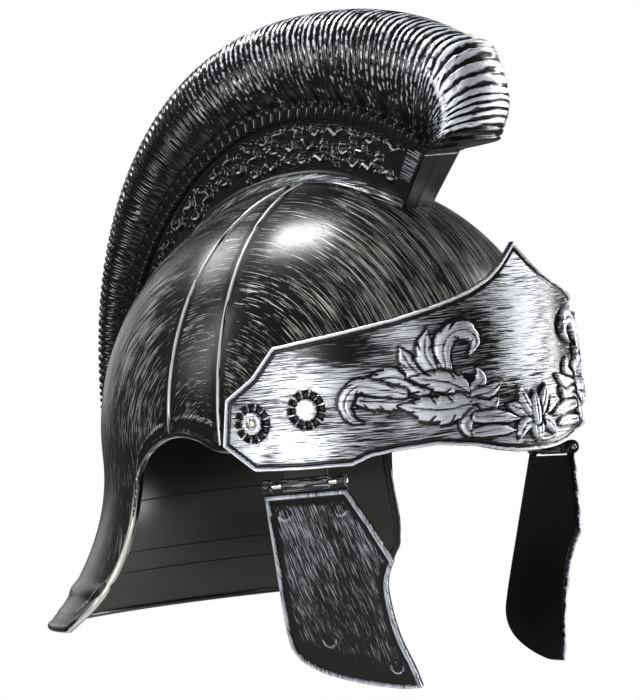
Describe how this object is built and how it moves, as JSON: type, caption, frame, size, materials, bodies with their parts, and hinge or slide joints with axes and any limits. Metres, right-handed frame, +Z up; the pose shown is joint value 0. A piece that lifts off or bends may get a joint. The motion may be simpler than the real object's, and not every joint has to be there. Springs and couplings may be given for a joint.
{
  "type": "roman helmet",
  "caption": "Costume helmet with a domed bowl, flared neck guard, brow plate with raised leaves, ribbed crest on a holder and hinged cheek guards.",
  "frame": {"origin": "inside top of the bowl, where it sits on a head", "axes": "+Z up, the face looks towards -Y, +X to the wearer's left"},
  "size_m": [0.2242, 0.2788, 0.3166],
  "materials": {
    "bowl": "black moulded plastic, silver brushed over in sweeping strokes",
    "crest": "black moulded plastic, silver wiped over the ridges",
    "plate": "black moulded plastic under heavy silver brush strokes",
    "cheek": "black moulded plastic, silver brushed down the middle and along the rim",
    "steel": "plain bright steel"
  },
  "bodies": {
    "helmet": {"bowl": "bowl", "crest_holder": "crest", "crest": "crest", "brow_plate": "plate", "screw_right": "steel", "screw_left": "steel", "hinge_pin_right": "steel", "hinge_pin_left": "steel"},
    "cheek_right": {"cheek_guard_right": "cheek"},
    "cheek_left": {"cheek_guard_left": "cheek"}
  },
  "joints": [
    {"name": "cheek_right_hinge", "type": "hinge", "parent": "helmet", "child": "cheek_right", "pos_m": [-0.099, -0.0305, -0.1367], "axis": [-0.3671, 0.9302, 0], "range_deg": [-20, 100]},
    {"name": "cheek_left_hinge", "type": "hinge", "parent": "helmet", "child": "cheek_left", "pos_m": [0.099, -0.0305, -0.1367], "axis": [-0.3671, -0.9302, 0], "range_deg": [-20, 100]}
  ]
}
